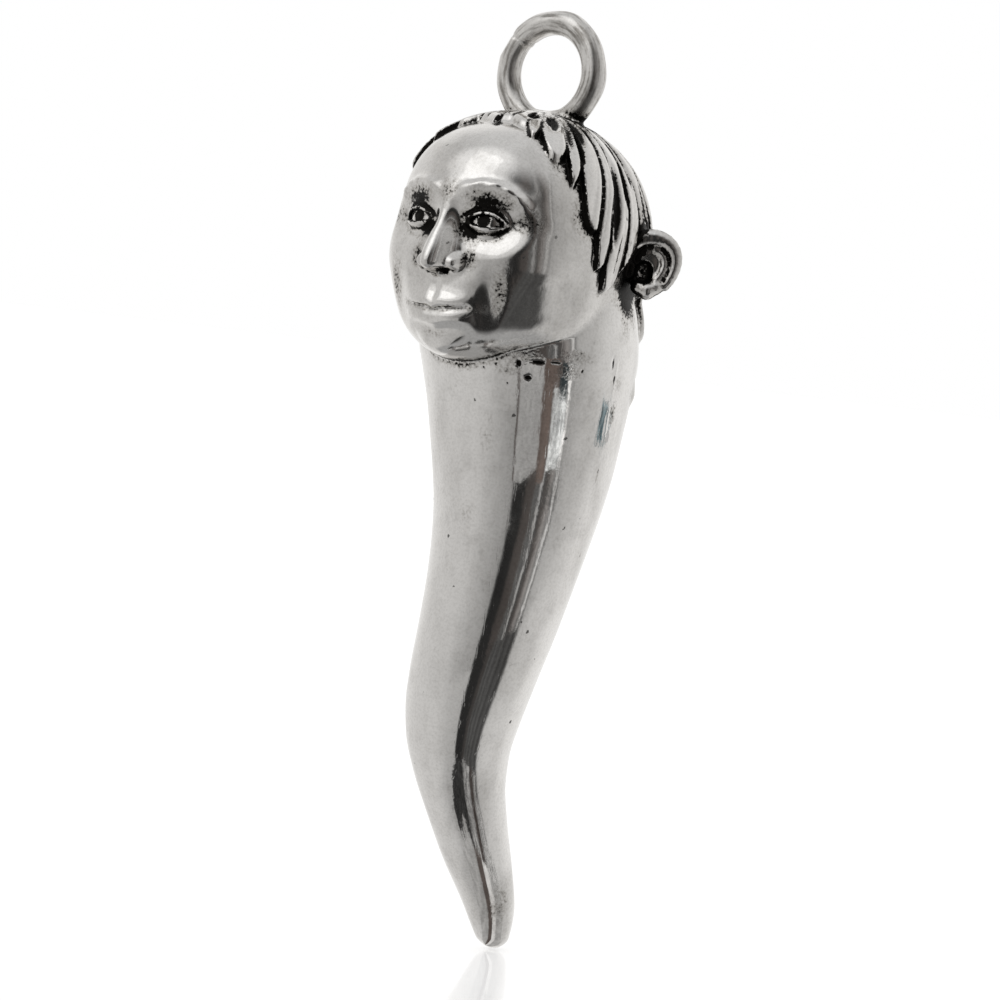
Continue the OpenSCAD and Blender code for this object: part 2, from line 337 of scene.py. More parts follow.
# --- horn ---
horn = {
    "length": 28.4, "neck": 10.4, "sway": 1.9, "top": -14.8,
    # share of the length, sideways and back as shares of the sway, width as a share of the neck
    "rows": [
        (-0.16, 0.04, 0.02, 0.6), (-0.14, 0.05, 0.02, 0.8), (-0.115, 0.07, 0.03, 0.935),
        (-0.07, 0.1, 0.06, 0.99), (0.000, 0.17, 0.12, 1.000), (0.095, 0.29, 0.15, 0.905),
        (0.194, 0.4, 0.08, 0.818), (0.26, 0.43, 0.00, 0.752), (0.327, 0.42, -0.16, 0.697),
        (0.39, 0.37, -0.31, 0.656), (0.458, 0.28, -0.47, 0.62), (0.525, 0.14, -0.6, 0.583),
        (0.59, 0.00, -0.67, 0.541), (0.658, -0.11, -0.62, 0.472), (0.722, -0.1, -0.36, 0.408),
        (0.789, 0.00, 0.04, 0.361), (0.856, 0.15, 0.42, 0.318), (0.922, 0.38, 0.76, 0.248),
        (0.954, 0.44, 0.87, 0.205), (0.985, 0.48, 0.96, 0.15), (1.000, 0.5, 0.99, 0.115),
    ],
}


def makeSpine():
    # dense samples down the horn with the table's corners rounded off
    rows = np.array(horn["rows"])
    t = np.linspace(-0.16, 1.0, 1161)
    pad = 60
    kernel = np.exp(-0.5 * (np.arange(-pad, pad + 1) / 15.0) ** 2)
    kernel /= kernel.sum()
    cols = []
    for c in (1, 2, 3):
        v = np.interp(t, rows[:, 0], rows[:, c])
        first, last = 2 * v[0] - v[pad:0:-1], 2 * v[-1] - v[-2:-pad - 2:-1]
        cols.append(np.convolve(np.concatenate([first, v, last]), kernel, "valid"))
    z = horn["top"] - horn["length"] * t
    r = cols[2] * horn["neck"] / 2
    end = z[-1]
    tip = np.sqrt(np.clip(1 - ((0.55 - (z - end)) / 0.55).clip(0, 1) ** 2, 0, 1))
    r = r * tip
    order = np.argsort(z)
    return z[order], cols[0][order] * horn["sway"], cols[1][order] * horn["sway"], r[order]


spineZ, spineX, spineY, spineR = makeSpine()
hornTip = spineZ[0]


def spineAt(z):
    # where the horn's middle runs at a height, and the horn's radius there
    return (np.interp(z, spineZ, v) for v in (spineX, spineY, spineR))


def hornField(p):
    z = p[:, 2]
    x, y, r = spineAt(z)
    f = (np.hypot(p[:, 0] - x, p[:, 1] - y) - r) * np.interp(z, spineZ, hornLean)
    f = blendMax(f, z - (horn["top"] + 0.155 * horn["length"]), 0.4)
    return np.maximum(f, hornTip - z)


# a share by which the distance across is more than the distance to the leaning skin
slope = np.abs(np.gradient(spineR, spineZ)) + np.hypot(np.gradient(spineX, spineZ), np.gradient(spineY, spineZ))
hornLean = 1.0 / np.sqrt(1.0 + np.minimum(slope, 3.0) ** 2)

# --- ring ---
ring = {"wire": 1.15, "bore": 3.6, "cutAngle": 50.0, "cutSlant": 22.0, "cutWidth": 0.07, "flatAngle": 60.0}


def ringField(p):
    mean = (ring["bore"] + ring["wire"]) / 2
    z = p[:, 2] + ring["bore"] / 2
    across = np.hypot(p[:, 0], z) - mean
    turn = np.degrees(np.arctan2(-p[:, 0], z))
    # the two ends at the cut stand a hair out of line
    step = 0.05 * smoothStep(turn - ring["cutAngle"], -2.0, 2.0) * (1 - smoothStep(turn, 60, 130))
    f = np.hypot(across - step, p[:, 1] + 0.03 * step) - ring["wire"] / 2
    uneven = 0.022 * sinOf(turn * 5 + 20) + 0.014 * sinOf(turn * 9 + 70)
    f = f + uneven * smoothStep(across, -0.1, 0.4)
    f = f + 0.012 * sinOf(turn * 3 + 40) * np.sin(p[:, 1] * 4 + across * 5)
    # a flat left by the pliers beside the cut
    flat, slant = ring["flatAngle"], 35
    out = np.array([-sinOf(flat) * cosOf(slant), -sinOf(slant), cosOf(flat) * cosOf(slant)])
    seat = np.array([-sinOf(flat) * mean, 0, cosOf(flat) * mean - ring["bore"] / 2])
    f = blendMax(f, (p - seat) @ out - ring["wire"] / 2 + 0.07, 0.03)
    at = 90 + ring["cutAngle"]
    slant = at + ring["cutSlant"]
    offset = (p[:, 0] - mean * cosOf(at)) * -sinOf(slant) + (z - mean * sinOf(at)) * cosOf(slant)
    inCut = (p[:, 0] < 0) & (z > 0)
    slit = np.where(inCut, bell(offset / ring["cutWidth"]), 0)
    return f + 0.05 * slit, slit


def solderField(p):
    return eggField(p, (0, 0, head["crown"] - ring["wire"] / 2), (1.75, 1.0, 0.66))


def pendantField(p, marks=False):
    n = len(p)
    f = hornField(p)
    groove = np.zeros(n)
    near = p[:, 2] > -18.5
    if near.any():
        g, ears, rise, h = headFields(p[near])
        f[near] = blendMin(blendMin(g, f[near], 0.1) - rise, ears, 0.12)
        groove[near] = h
    near = p[:, 2] > -6.0
    slit = np.zeros(n)
    if near.any():
        q = p[near]
        r, s = ringField(q)
        lump = 0.05 * np.sin(q[:, 0] * 5.1 + 1.0) * np.sin(q[:, 1] * 6.3) * np.sin(q[:, 2] * 4.7 + 2.0)
        f[near] = blendMin(blendMin(f[near], solderField(q) + lump, 0.25), r, 0.22)
        slit[near] = s * (r < 0.2)
    near = p[:, 2] < -13.0
    if near.any():
        # the mould's parting line, down both sides of the horn and lost towards its tip
        q = p[near]
        across = q[:, 1] - np.interp(q[:, 2], spineZ, spineY) + 0.25
        span = smoothStep(q[:, 2], -25.0, -19.0) * (1 - smoothStep(q[:, 2], -15.2, -14.4))
        f[near] -= 0.022 * bell(across / 0.07) * span
    # pits, nicks and low waves left by the casting
    near = (p[:, 2] < -14.0) & (p[:, 2] > -21.0)
    if near.any():
        q = p[near]
        g = f[near]
        for at, size, depth in pits:
            d = (q - at) / size
            wobble = 1 + 0.35 * np.sin(d[:, 0] * 3.1 + 1) * np.sin(d[:, 2] * 2.7 + 2)
            g = g + depth * hill((d * d).sum(1) * wobble)
        f[near] = g
    return (f, groove, slit) if marks else f


def hornSpots(rows):
    # places on the horn's skin, from rows of azimuth, height, half width, half height and amount
    found = []
    for azimuth, z, wide, tall, amount in rows:
        x, y, r = spineAt(z)
        at = np.array([x + r * sinOf(azimuth), y - r * cosOf(azimuth), z])
        found.append((at, np.array([wide, wide, tall]), amount))
    return found


# pits, nicks and one low lump (its depth is negative)
pits = hornSpots([
    (30, -15.35, 0.16, 0.22, 0.07), (35, -15.95, 0.2, 0.15, 0.07), (-22, -15.1, 0.36, 0.24, 0.14),
    (64, -15.4, 0.09, 0.12, 0.04), (18, -15.45, 0.08, 0.1, 0.04), (11, -15.7, 0.07, 0.07, 0.03),
    (40, -15.2, 0.42, 0.09, 0.05), (49, -15.12, 0.34, 0.07, 0.04), (84, -14.9, 0.09, 0.36, 0.05),
    (87, -15.6, 0.08, 0.26, 0.04), (24, -16.3, 0.06, 0.07, 0.03), (5, -17.2, 0.06, 0.1, 0.03),
    (14, -20.4, 0.06, 0.06, 0.03), (150, -15.6, 0.2, 0.24, 0.08), (-110, -15.3, 0.18, 0.2, 0.07),
    (-70, -16.0, 0.1, 0.16, 0.04), (118, -16.3, 0.5, 0.7, -0.16)
])
# faint darker smears on the horn, at listed places, added to the oxide mask
darkSmears = hornSpots([
    (91, -17.2, 0.5, 1.2, 0.33), (88, -19.9, 0.16, 1.5, 0.36), (30, -15.0, 2.2, 0.8, 0.27),
    (62, -14.8, 2.0, 0.7, 0.27), (-14, -15.4, 1.8, 0.7, 0.24), (-150, -14.6, 2.2, 0.7, 0.24),
    (150, -14.8, 2.2, 0.7, 0.24), (100, -24.0, 0.09, 0.6, 0.3), (-8, -15.5, 1.6, 0.7, 0.23),
    (24, -15.6, 1.6, 0.7, 0.23), (58, -15.5, 1.6, 0.8, 0.24), (90, -15.8, 1.2, 1.0, 0.2),
    (63, -40.9, 1.2, 2.7, 0.22), (12, -18.6, 0.9, 2.6, 0.19), (0, -22.5, 1.2, 2.2, 0.17), (66, -36.9, 0.2, 1.0, 0.18)
])


# --- one skin over the whole pendant ---
net = {"step": 0.1118, "coarse": 4, "foot": -16.9}


def makeLattice():
    # planes of a lattice that follows the horn's bend and taper, so its cells shrink with it
    h = net["step"]
    z = [1.35]
    while z[-1] > net["foot"]:
        z.append(z[-1] - h)
    gap = h
    while z[-1] > hornTip - 0.15:
        r = np.interp(z[-1], spineZ, spineR)
        gap = min(gap * 1.06, 0.4, max(0.1, 0.13 * r))
        z.append(z[-1] - gap)
    while (len(z) - 1) % net["coarse"]:
        z.append(z[-1] - gap)
    z = np.array(z[::-1])
    blend = smoothStep(-z, 15.0, 19.5)
    cx, cy, r = spineAt(z)
    scale = 1.0 + blend * (np.maximum(r, 0.5) / 2.9 - 1.0)
    c = net["coarse"]

    def planes(low, high):
        # whole blocks to both sides of the middle
        return np.arange(-math.ceil(low / h / c) * c, math.ceil(high / h / c) * c + 1) * h

    return planes(7.5, 7.5), planes(8.9, 6), z, scale, cx * blend, cy * blend


def latticePoints(i, j, k, lattice):
    a, b, z, scale, cx, cy = lattice
    return np.stack([cx[k] + scale[k] * a[i], cy[k] + scale[k] * b[j], z[k]], -1)


def sampleLattice(lattice):
    a, b, z, scale = lattice[:4]
    c = net["coarse"]

    def fill(cells):
        # each block's value on every plane that it spans
        return np.repeat(np.repeat(np.repeat(cells, c, 0), c, 1), c, 2)

    shape = (len(a), len(b), len(z))
    ci, cj, ck = (np.arange(0, n, c) for n in shape)
    grid = np.meshgrid(ci, cj, ck, indexing="ij")
    f = pendantField(latticePoints(*(g.ravel() for g in grid), lattice)).reshape(grid[0].shape)
    # a block is looked into where any of its corners is near the skin or they differ in sign
    sideway = scale[ck] * (a[1] - a[0]) * c
    tall = np.gradient(z)[ck] * c
    reach = 0.85 * np.sqrt(2 * sideway ** 2 + tall ** 2)
    close = np.abs(f) < reach
    blocks, metal, air = (np.zeros(tuple(n - 1 for n in f.shape), bool) for _ in range(3))
    for shift in np.ndindex(2, 2, 2):
        corner = tuple(slice(d, n - 1 + d) for d, n in zip(shift, f.shape))
        blocks |= close[corner]
        metal |= f[corner] < 0
        air |= f[corner] >= 0
    blocks |= metal & air
    field = np.pad(fill(np.sign(f[:-1, :-1, :-1])).astype(np.float32), (0, 1), mode="edge")
    mask = np.pad(fill(blocks), (0, 1))
    grown = mask.copy()
    grown[1:] |= mask[:-1]
    grown[:, 1:] |= grown[:, :-1]
    grown[:, :, 1:] |= grown[:, :, :-1]
    i, j, k = np.nonzero(grown)
    field[i, j, k] = pendantField(latticePoints(i, j, k, lattice))
    print("lattice", shape, "sampled", len(i))
    return field


def skinNet(field, lattice):
    # one vertex in each cell that the skin crosses, one quad round each lattice edge that it cuts
    inside = field < 0
    count = np.zeros(tuple(n - 1 for n in field.shape), np.uint8)
    corners = list(np.ndindex(2, 2, 2))
    for corner in corners:
        count += inside[tuple(slice(d, n - 1 + d) for d, n in zip(corner, field.shape))]
    i, j, k = np.nonzero((count > 0) & (count < 8))
    index = np.full(count.shape, -1, np.int64)
    index[i, j, k] = np.arange(len(i))
    total = np.zeros((len(i), 3))
    hits = np.zeros(len(i))
    for ca in corners:
        for axis in range(3):
            if ca[axis]:
                continue
            ia = [i + ca[0], j + ca[1], k + ca[2]]
            ib = list(ia)
            ib[axis] = ib[axis] + 1
            ia, ib = tuple(ia), tuple(ib)
            fa, fb = field[ia].astype(float), field[ib].astype(float)
            cut = (fa < 0) != (fb < 0)
            t = np.where(cut, fa / np.where(cut, fa - fb, 1), 0)[:, None]
            pa, pb = latticePoints(*ia, lattice), latticePoints(*ib, lattice)
            total += np.where(cut[:, None], pa + t * (pb - pa), 0)
            hits += cut
    points = total / hits[:, None]
    quads = []
    for axis in range(3):
        u, v = (axis + 1) % 3, (axis + 2) % 3
        low = [slice(None)] * 3
        high = [slice(None)] * 3
        low[axis], high[axis] = slice(0, -1), slice(1, None)
        a, b = inside[tuple(low)], inside[tuple(high)]
        at = np.nonzero(a != b)
        flip = a[at]
        at = np.stack(at, 1)
        keep = (at[:, u] > 0) & (at[:, v] > 0) & (at[:, u] < count.shape[u]) & (at[:, v] < count.shape[v])
        at, flip = at[keep], flip[keep]
        around4 = []
        for du, dv in ((-1, -1), (0, -1), (0, 0), (-1, 0)):
            cell = at.copy()
            cell[:, u] += du
            cell[:, v] += dv
            around4.append(index[tuple(cell.T)])
        q = np.stack(around4, 1)
        q[~flip] = q[~flip][:, ::-1]
        quads.append(q)
    return points, np.concatenate(quads)


def gradient(p, e=0.012):
    return np.stack([(pendantField(p + d) - pendantField(p - d)) / (2 * e) for d in np.eye(3) * e], 1)


def settle(points, rounds=2):
    # pull each vertex onto the skin
    for _ in range(rounds):
        g = gradient(points)
        f = pendantField(points)
        move = -(f / np.maximum((g * g).sum(1), 0.2))[:, None] * g
        move *= np.minimum(1.0, 0.08 / np.maximum(sizeOf(move), 1e-9))[:, None]
        points = points + move
    return points


lattice = makeLattice()
field = sampleLattice(lattice)
points, quads = skinNet(field, lattice)
points = settle(points)
grad = gradient(points, 0.05)
normals = grad / np.maximum(sizeOf(grad), 1e-9)[:, None]
print("skin:", len(points), "points,", len(quads), "quads")


def hollowness(p, n):
    # 0 on open metal, up to 1 where neighbouring metal closes in
    total = np.zeros(len(p))
    for reach, weight in ((0.15, 0.25), (0.4, 0.3), (0.9, 0.3), (1.8, 0.3)):
        total += weight * np.clip((reach - pendantField(p + n * reach)) / reach, 0, 1)
    return total


def oxideMarks(p, n):
    # how much oxide each point keeps: the hollows, and the places that a polishing wheel can't reach
    cavity = hollowness(p, n)
    _, groove, slit = pendantField(p, True)
    # averaged over a cell, so that no line breaks up into dashes
    for d in np.kron(np.eye(3), [[-0.06], [0.06]]):
        groove = groove + pendantField(p + d, True)[1]
    groove /= 7
    cavity *= smoothStep(p[:, 2], -21.0, -18.0)
    offRing = smoothStep(ringField(p)[0], 0.05, 0.25)
    groove *= offRing
    cavity *= 0.78 + 0.22 * offRing
    q = toHead(p)
    q[:, 0] = np.abs(q[:, 0])
    x, y, z = eyeFrame(q)
    iris = np.hypot(x + 0.04, z - 0.05)
    onBall = (np.abs(np.sqrt(x * x + y * y + z * z) - face["eyeR"] + 0.03) < 0.06) & (y < 0)
    cavity[onBall & (cavity < 0.8)] *= 0.4
    cavity[onBall] += 0.34 * (1 - smoothStep(iris, 0.26, 0.34))[onBall]
    az, el = headAngles(q)
    lipRoom = hill((az / 13) ** 2 + ((el + 29) / 7) ** 2) + hill((az / 16) ** 2 + ((el + 41) / 6) ** 2)
    cavity *= 1.0 - 0.75 * np.clip(1.6 * lipRoom, 0, 1)
    shallow = (sizeOf(q) < skinRadius(az, el) + 0.25) & (q[:, 2] > -5.6) & ~onBall
    kept = np.zeros(len(p))
    for a, e, ha, he, amount in patina:
        kept = np.maximum(kept, amount * hill(((az - a) / ha) ** 2 + ((el - e) / he) ** 2))
    line = np.interp(az, *zip(*hair["line"]))
    edge = smoothStep(az, 20, 45) * (1 - smoothStep(az, 92, 100))
    kept = np.maximum(kept, 0.24 * bell((el - line + 3) / 4.5) * edge)
    earGap = sizeOf(q - earAt - np.array([-0.1, -0.1, 0.0]))
    kept = np.maximum(kept, 0.2 * bell(earGap / 1.5))
    cavity = cavity + kept * shallow
    for at, size, depth in pits:
        d = (p - at) / size
        groove = np.maximum(groove, 0.95 * hill((d * d).sum(1) * 0.5) * (depth > 0))
    x, z, v = facePlace(az, el)
    lips = 0.46 * bell(v / 0.08) * (1 - smoothStep(x, 1.3, 1.7))
    nostril = 0.9 * bell((x - 0.4) / 0.18) * bell((z + 2.32) / 0.13)
    groove = np.maximum(groove, (lips + nostril) * (q[:, 1] < -4))
    # the faint darker smears on the horn, at their listed places
    for at, size, amount in darkSmears:
        d = (p - at) / size
        cavity = np.maximum(cavity, amount * hill((d * d).sum(1)))
    return cavity, groove, slit


# azimuth, elevation, half reach each way, and how much oxide is left there
patina = [
    (19, 9, 20, 8, 0.31),
    (37, 2, 12, 9, 0.18),
    (11, -3, 8, 13, 0.27),
    (14, -15, 6, 10, 0.24),
    (21, -34.5, 6, 5, 0.2),
    (31, -27, 9, 17, 0.16),
    (0, -44, 16, 3.5, 0.16),
    (0, -62, 80, 8, 0.25),
    (0, 10, 8, 10, 0.16),
    (66, 14, 14, 18, 0.24),
    (50, 30, 12, 10, 0.18),
]
cavity, groove, slit = oxideMarks(points, normals)
print("hollows:", round(float(cavity.max()), 2), "grooves:", round(float(groove.max()), 2))


def makeMesh(name, points, quads, normals, marks):
    mesh = bpy.data.meshes.new(name)
    mesh.from_pydata((points * mm).tolist(), [], quads.tolist())
    mesh.validate(clean_customdata=False)
    mesh.shade_smooth()
    mesh.normals_split_custom_set_from_vertices([tuple(n) for n in normals])
    for key, values in marks.items():
        kind, part = ("FLOAT_VECTOR", "vector") if values.ndim == 2 else ("FLOAT", "value")
        mesh.attributes.new(key, kind, "POINT").data.foreach_set(part, values.astype(np.float32).ravel())
    piece = bpy.data.objects.new(name, mesh)
    scene.collection.objects.link(piece)
    return piece


def partOf(quads, points):
    # 0 horn, 1 head, 2 ring
    mid = points[quads].mean(1)
    isRing = (ringField(mid)[0] < 0.12) & (mid[:, 2] > head["crown"] - 0.35)
    isHead = (sizeOf(toHead(mid)) < 9.5) & (hornField(mid) >= 0.05)
    return np.where(isRing, 2, np.where(isHead, 1, 0))


def wirePlace(p):
    # millimetres along the ring's wire, and across it both ways
    z = p[:, 2] + ring["bore"] / 2
    mean = (ring["bore"] + ring["wire"]) / 2
    return np.stack([np.arctan2(-p[:, 0], z) * mean, np.hypot(p[:, 0], z) - mean, p[:, 1]], 1)


marks = {"cavity": cavity, "groove": groove, "slit": slit, "wire": wirePlace(points)}
pendant = makeMesh("silver_pendant", points, quads, normals, marks)
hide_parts("horn_pendant")
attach(pendant, "root")


# --- materials ---
def newGroup(name, inputs, outputs):
    # inputs are numbers by name, or None for a vector
    group = bpy.data.node_groups.new(name, "ShaderNodeTree")
    for key, value in inputs.items():
        kind = "NodeSocketVector" if value is None else "NodeSocketFloat"
        socket = group.interface.new_socket(name=key, in_out="INPUT", socket_type=kind)
        if value is not None:
            socket.default_value = value
    for key in outputs:
        group.interface.new_socket(name=key, in_out="OUTPUT", socket_type="NodeSocketFloat")
    return group, group.nodes.new("NodeGroupInput").outputs, group.nodes.new("NodeGroupOutput").inputs


def join(tree, value, socket):
    # links another node's output, or sets a plain value
    if isinstance(value, bpy.types.NodeSocket):
        tree.links.new(value, socket)
    elif value is not None:
        socket.default_value = value


def node(tree, kind, inputs=None, **settings):
    made = tree.nodes.new(kind)
    for key, value in settings.items():
        setattr(made, key, value)
    for key, value in (inputs or {}).items():
        join(tree, value, made.inputs[key])
    return made


def math2(tree, op, a, b, clamp=False):
    return node(tree, "ShaderNodeMath", {0: a, 1: b}, operation=op, use_clamp=clamp).outputs[0]


def times(tree, a, b):
    return math2(tree, "MULTIPLY", a, b)


def plus(tree, a, b, clamp=False):
    return math2(tree, "ADD", a, b, clamp)


def mix(tree, a, b, share):
    return node(tree, "ShaderNodeMix", {"A": a, "B": b, "Factor": share}, data_type="RGBA").outputs["Result"]


def objectCoords(tree):
    return node(tree, "ShaderNodeTexCoord").outputs["Object"]


def noise(tree, vector, scale, detail=2.0, stretch=None):
    if stretch:
        vector = node(tree, "ShaderNodeMapping", {"Scale": stretch, "Vector": vector}).outputs[0]
    return node(tree, "ShaderNodeTexNoise", {"Scale": scale, "Detail": detail, "Vector": vector}).outputs["Fac"]


def swing(tree, vector, scale, detail, size):
    # noise to both sides of zero
    return times(tree, math2(tree, "SUBTRACT", noise(tree, vector, scale, detail), 0.5), size)


def ramp(tree, value, low, high):
    inputs = {"From Min": low, "From Max": high, "Value": value}
    return node(tree, "ShaderNodeMapRange", inputs, interpolation_type="SMOOTHSTEP").outputs[0]


def makeOxideGroup():
    # black oxide that stays in the hollows and is rubbed off the open metal
    tree, given, out = newGroup("oxideInHollows", {"Hollow": 0.0, "Groove": 0.0, "Amount": 1.0}, ("Mask", "Thin"))
    coords = objectCoords(tree)
    rough = plus(tree, swing(tree, coords, 7500, 5, 0.55), swing(tree, coords, 1300, 3, 0.3))
    level = times(tree, given["Hollow"], given["Amount"])
    level = plus(tree, level, times(tree, rough, ramp(tree, level, 0.03, 0.2)))
    line = ramp(tree, plus(tree, given["Groove"], times(tree, rough, 0.6)), 0.3, 0.55)
    join(tree, math2(tree, "MAXIMUM", ramp(tree, level, 0.25, 0.36), line, clamp=True), out["Mask"])
    join(tree, times(tree, ramp(tree, level, 0.1, 0.3), 0.6), out["Thin"])
    return tree


def makeWearGroup():
    # fine handling scratches and the slight waves of a hand-polished casting, as a height
    tree, given, out = newGroup("polishMarks", {"Waves": 1.0, "Scratches": 1.0}, ("Height", "Dull"))
    coords = objectCoords(tree)
    wave = plus(tree, noise(tree, coords, 260, 1, (1.0, 1.0, 0.45)),
                times(tree, noise(tree, coords, 900, 2, (1.0, 1.0, 0.5)), 0.12))
    patches = ramp(tree, noise(tree, coords, 300, 2), 0.38, 0.62)
    pebble = times(tree, noise(tree, coords, 4600, 2, (1.0, 1.0, 0.7)),
                   plus(tree, times(tree, patches, 0.024), 0.008))
    along = ramp(tree, noise(tree, coords, 900, 3, (9.0, 9.0, 0.7)), 0.6, 0.72)
    across = ramp(tree, noise(tree, coords, 700, 3, (1.0, 6.0, 8.0)), 0.64, 0.74)
    fine = math2(tree, "MAXIMUM", along, times(tree, across, 0.35))
    height = plus(tree, times(tree, plus(tree, wave, pebble), given["Waves"]),
                  times(tree, times(tree, fine, -0.012), given["Scratches"]))
    join(tree, height, out["Height"])
    join(tree, fine, out["Dull"])
    return tree


def makeSmudgeGroup():
    # thin tarnish in cloudy patches, fine specks and streaks along the wire
    tree, given, out = newGroup("tarnishClouds", {"Amount": 0.2, "Pores": 0.5, "Streaks": 0.0, "Wire": None},
                                 ("Mask", "Pore"))
    coords = objectCoords(tree)
    grain = ramp(tree, noise(tree, coords, 4200, 3), 0.35, 0.75)
    smudge = times(tree, ramp(tree, noise(tree, coords, 900, 4), 0.42, 0.72),
                   plus(tree, times(tree, grain, 0.7), 0.3))
    for scale, detail, stretch, low, high, share in ((3000, 2, None, 0.7, 0.76, 0.8), (8000, 3, None, 0.35, 0.75, 0.8),
                                                     (420, 3, (1, 1, 0.4), 0.42, 0.72, 1.3)):
        spots = ramp(tree, noise(tree, coords, scale, detail, stretch), low, high)
        smudge = plus(tree, smudge, times(tree, spots, share))
    streak = ramp(tree, noise(tree, given["Wire"], 5.5, 4, (0.14, 1, 1)), 0.42, 0.68)
    join(tree, plus(tree, times(tree, smudge, given["Amount"]), times(tree, streak, given["Streaks"]), clamp=True),
         out["Mask"])
    # scattered pores of the casting, each a small dark dot of its own shape
    shift = times(tree, noise(tree, coords, 6000, 2), 0.00022)
    bent = node(tree, "ShaderNodeVectorMath", {0: coords, 1: shift}, operation="ADD").outputs[0]
    cells = node(tree, "ShaderNodeTexVoronoi", {"Scale": 1050, "Vector": bent}).outputs
    pick = node(tree, "ShaderNodeSeparateColor", {0: cells["Color"]}).outputs[0]
    dot = math2(tree, "SUBTRACT", times(tree, ramp(tree, pick, 0.25, 1.0), 0.09), cells["Distance"])
    join(tree, times(tree, ramp(tree, dot, -0.01, 0.02), given["Pores"]), out["Pore"])
    return tree


oxideGroup, smudgeGroup, wearGroup = makeOxideGroup(), makeSmudgeGroup(), makeWearGroup()

looks = {
    "polished_silver": {"metal": (0.93, 0.917, 0.9, 1), "rough": 0.07, "oxide": 0.9, "waves": 1.0, "scratches": 1.0,
                        "bump": 0.00009, "smudge": 0.2, "pores": 0.8, "streaks": 0.0},
    "cast_silver": {"metal": (0.88, 0.865, 0.845, 1), "rough": 0.13, "oxide": 1.15, "waves": 1.4, "scratches": 0.6,
                    "bump": 0.00006, "smudge": 0.22, "pores": 0.6, "streaks": 0.0},
    "wire_silver": {"metal": (0.88, 0.865, 0.84, 1), "rough": 0.28, "oxide": 0.62, "waves": 1.5, "scratches": 1.4,
                    "bump": 0.00006, "smudge": 0.22, "pores": 0.5, "streaks": 0.75},
}
tarnish = {
    "cloud": (0.3, 0.285, 0.265, 1), "thin": (0.36, 0.34, 0.31, 1), "black": (0.012, 0.011, 0.01, 1),
    "slit": 0.42, "scratchRough": 0.1, "blackRough": 0.34, "bite": 0.12,
}


def makeSilver(name, look):
    material = bpy.data.materials.new(name)
    material.use_nodes = True
    tree = material.node_tree
    shader = tree.nodes["Principled BSDF"].inputs
    hollow, line, slit, wire = (node(tree, "ShaderNodeAttribute", attribute_name=key).outputs
                                for key in ("cavity", "groove", "slit", "wire"))
    line = math2(tree, "MAXIMUM", line["Fac"], times(tree, slit["Fac"], tarnish["slit"]))
    oxide = node(tree, "ShaderNodeGroup", {"Hollow": hollow["Fac"], "Groove": line, "Amount": look["oxide"]},
                 node_tree=oxideGroup).outputs
    wear = node(tree, "ShaderNodeGroup", {"Waves": look["waves"], "Scratches": look["scratches"]},
                node_tree=wearGroup).outputs
    smudge = node(tree, "ShaderNodeGroup", {"Amount": look["smudge"], "Pores": look["pores"],
                                            "Streaks": look["streaks"], "Wire": wire["Vector"]},
                  node_tree=smudgeGroup).outputs
    black = math2(tree, "MAXIMUM", oxide["Mask"], smudge["Pore"])
    colour = mix(tree, look["metal"], tarnish["cloud"], smudge["Mask"])
    colour = mix(tree, colour, tarnish["thin"], oxide["Thin"])
    rough = plus(tree, look["rough"], times(tree, wear["Dull"], look["scratches"] * tarnish["scratchRough"]))
    grain = noise(tree, objectCoords(tree), 4200, 3)
    bite = times(tree, times(tree, grain, oxide["Thin"]), tarnish["bite"])
    height = plus(tree, wear["Height"], bite)
    bump = node(tree, "ShaderNodeBump", {"Strength": 1.0, "Distance": look["bump"], "Height": height})
    shader["Metallic"].default_value = 1.0
    join(tree, mix(tree, colour, tarnish["black"], black), shader["Base Color"])
    join(tree, plus(tree, rough, times(tree, black, tarnish["blackRough"])), shader["Roughness"])
    join(tree, bump.outputs["Normal"], shader["Normal"])
    return material


for name, look in looks.items():
    pendant.data.materials.append(makeSilver(name, look))
pendant.data.polygons.foreach_set("material_index", partOf(quads, points).astype(np.int32))
print("materials:", [m.name for m in pendant.data.materials])


# --- camera ---
view = {"azimuth": 35.0, "elevation": 3.0, "lean": 6.4, "lens": 110.0, "field": 47.0, "side": -0.16, "height": -21.86}


def makeCamera():
    a, e, lean = (math.radians(view[k]) for k in ("azimuth", "elevation", "lean"))
    back = Vector((math.sin(a) * math.cos(e), -math.cos(a) * math.cos(e), math.sin(e)))
    right = Vector((math.cos(a), math.sin(a), 0))
    up = back.cross(right)
    leanRight = right * math.cos(lean) + up * math.sin(lean)
    leanUp = up * math.cos(lean) - right * math.sin(lean)
    data = bpy.data.cameras.new("camera")
    data.lens = view["lens"]
    data.sensor_width = 36.0
    data.clip_start, data.clip_end = 0.005, 20.0
    distance = view["lens"] * view["field"] / data.sensor_width
    spot = right * view["side"] + Vector((0, 0, view["height"])) + back * distance
    camera = bpy.data.objects.new("camera", data)
    turn = Matrix((leanRight, leanUp, back)).transposed().to_4x4()
    camera.matrix_world = Matrix.Translation(spot * mm) @ turn
    scene.collection.objects.link(camera)
    bpy.context.scene.camera = camera
    return right


viewRight = makeCamera()


# --- stage ---
stage = {"floorZ": -43.24, "floorSize": 6000.0, "floorTone": 0.86, "floorGlow": 0.37}


def plainMaterial(name, tone, rough, glow=0.0):
    material = bpy.data.materials.new(name)
    material.use_nodes = True
    values = {"Base Color": (tone, tone, tone, 1), "Roughness": rough, "Emission Color": (1, 1, 1, 1),
              "Emission Strength": glow}
    for key, value in values.items():
        material.node_tree.nodes["Principled BSDF"].inputs[key].default_value = value
    return material


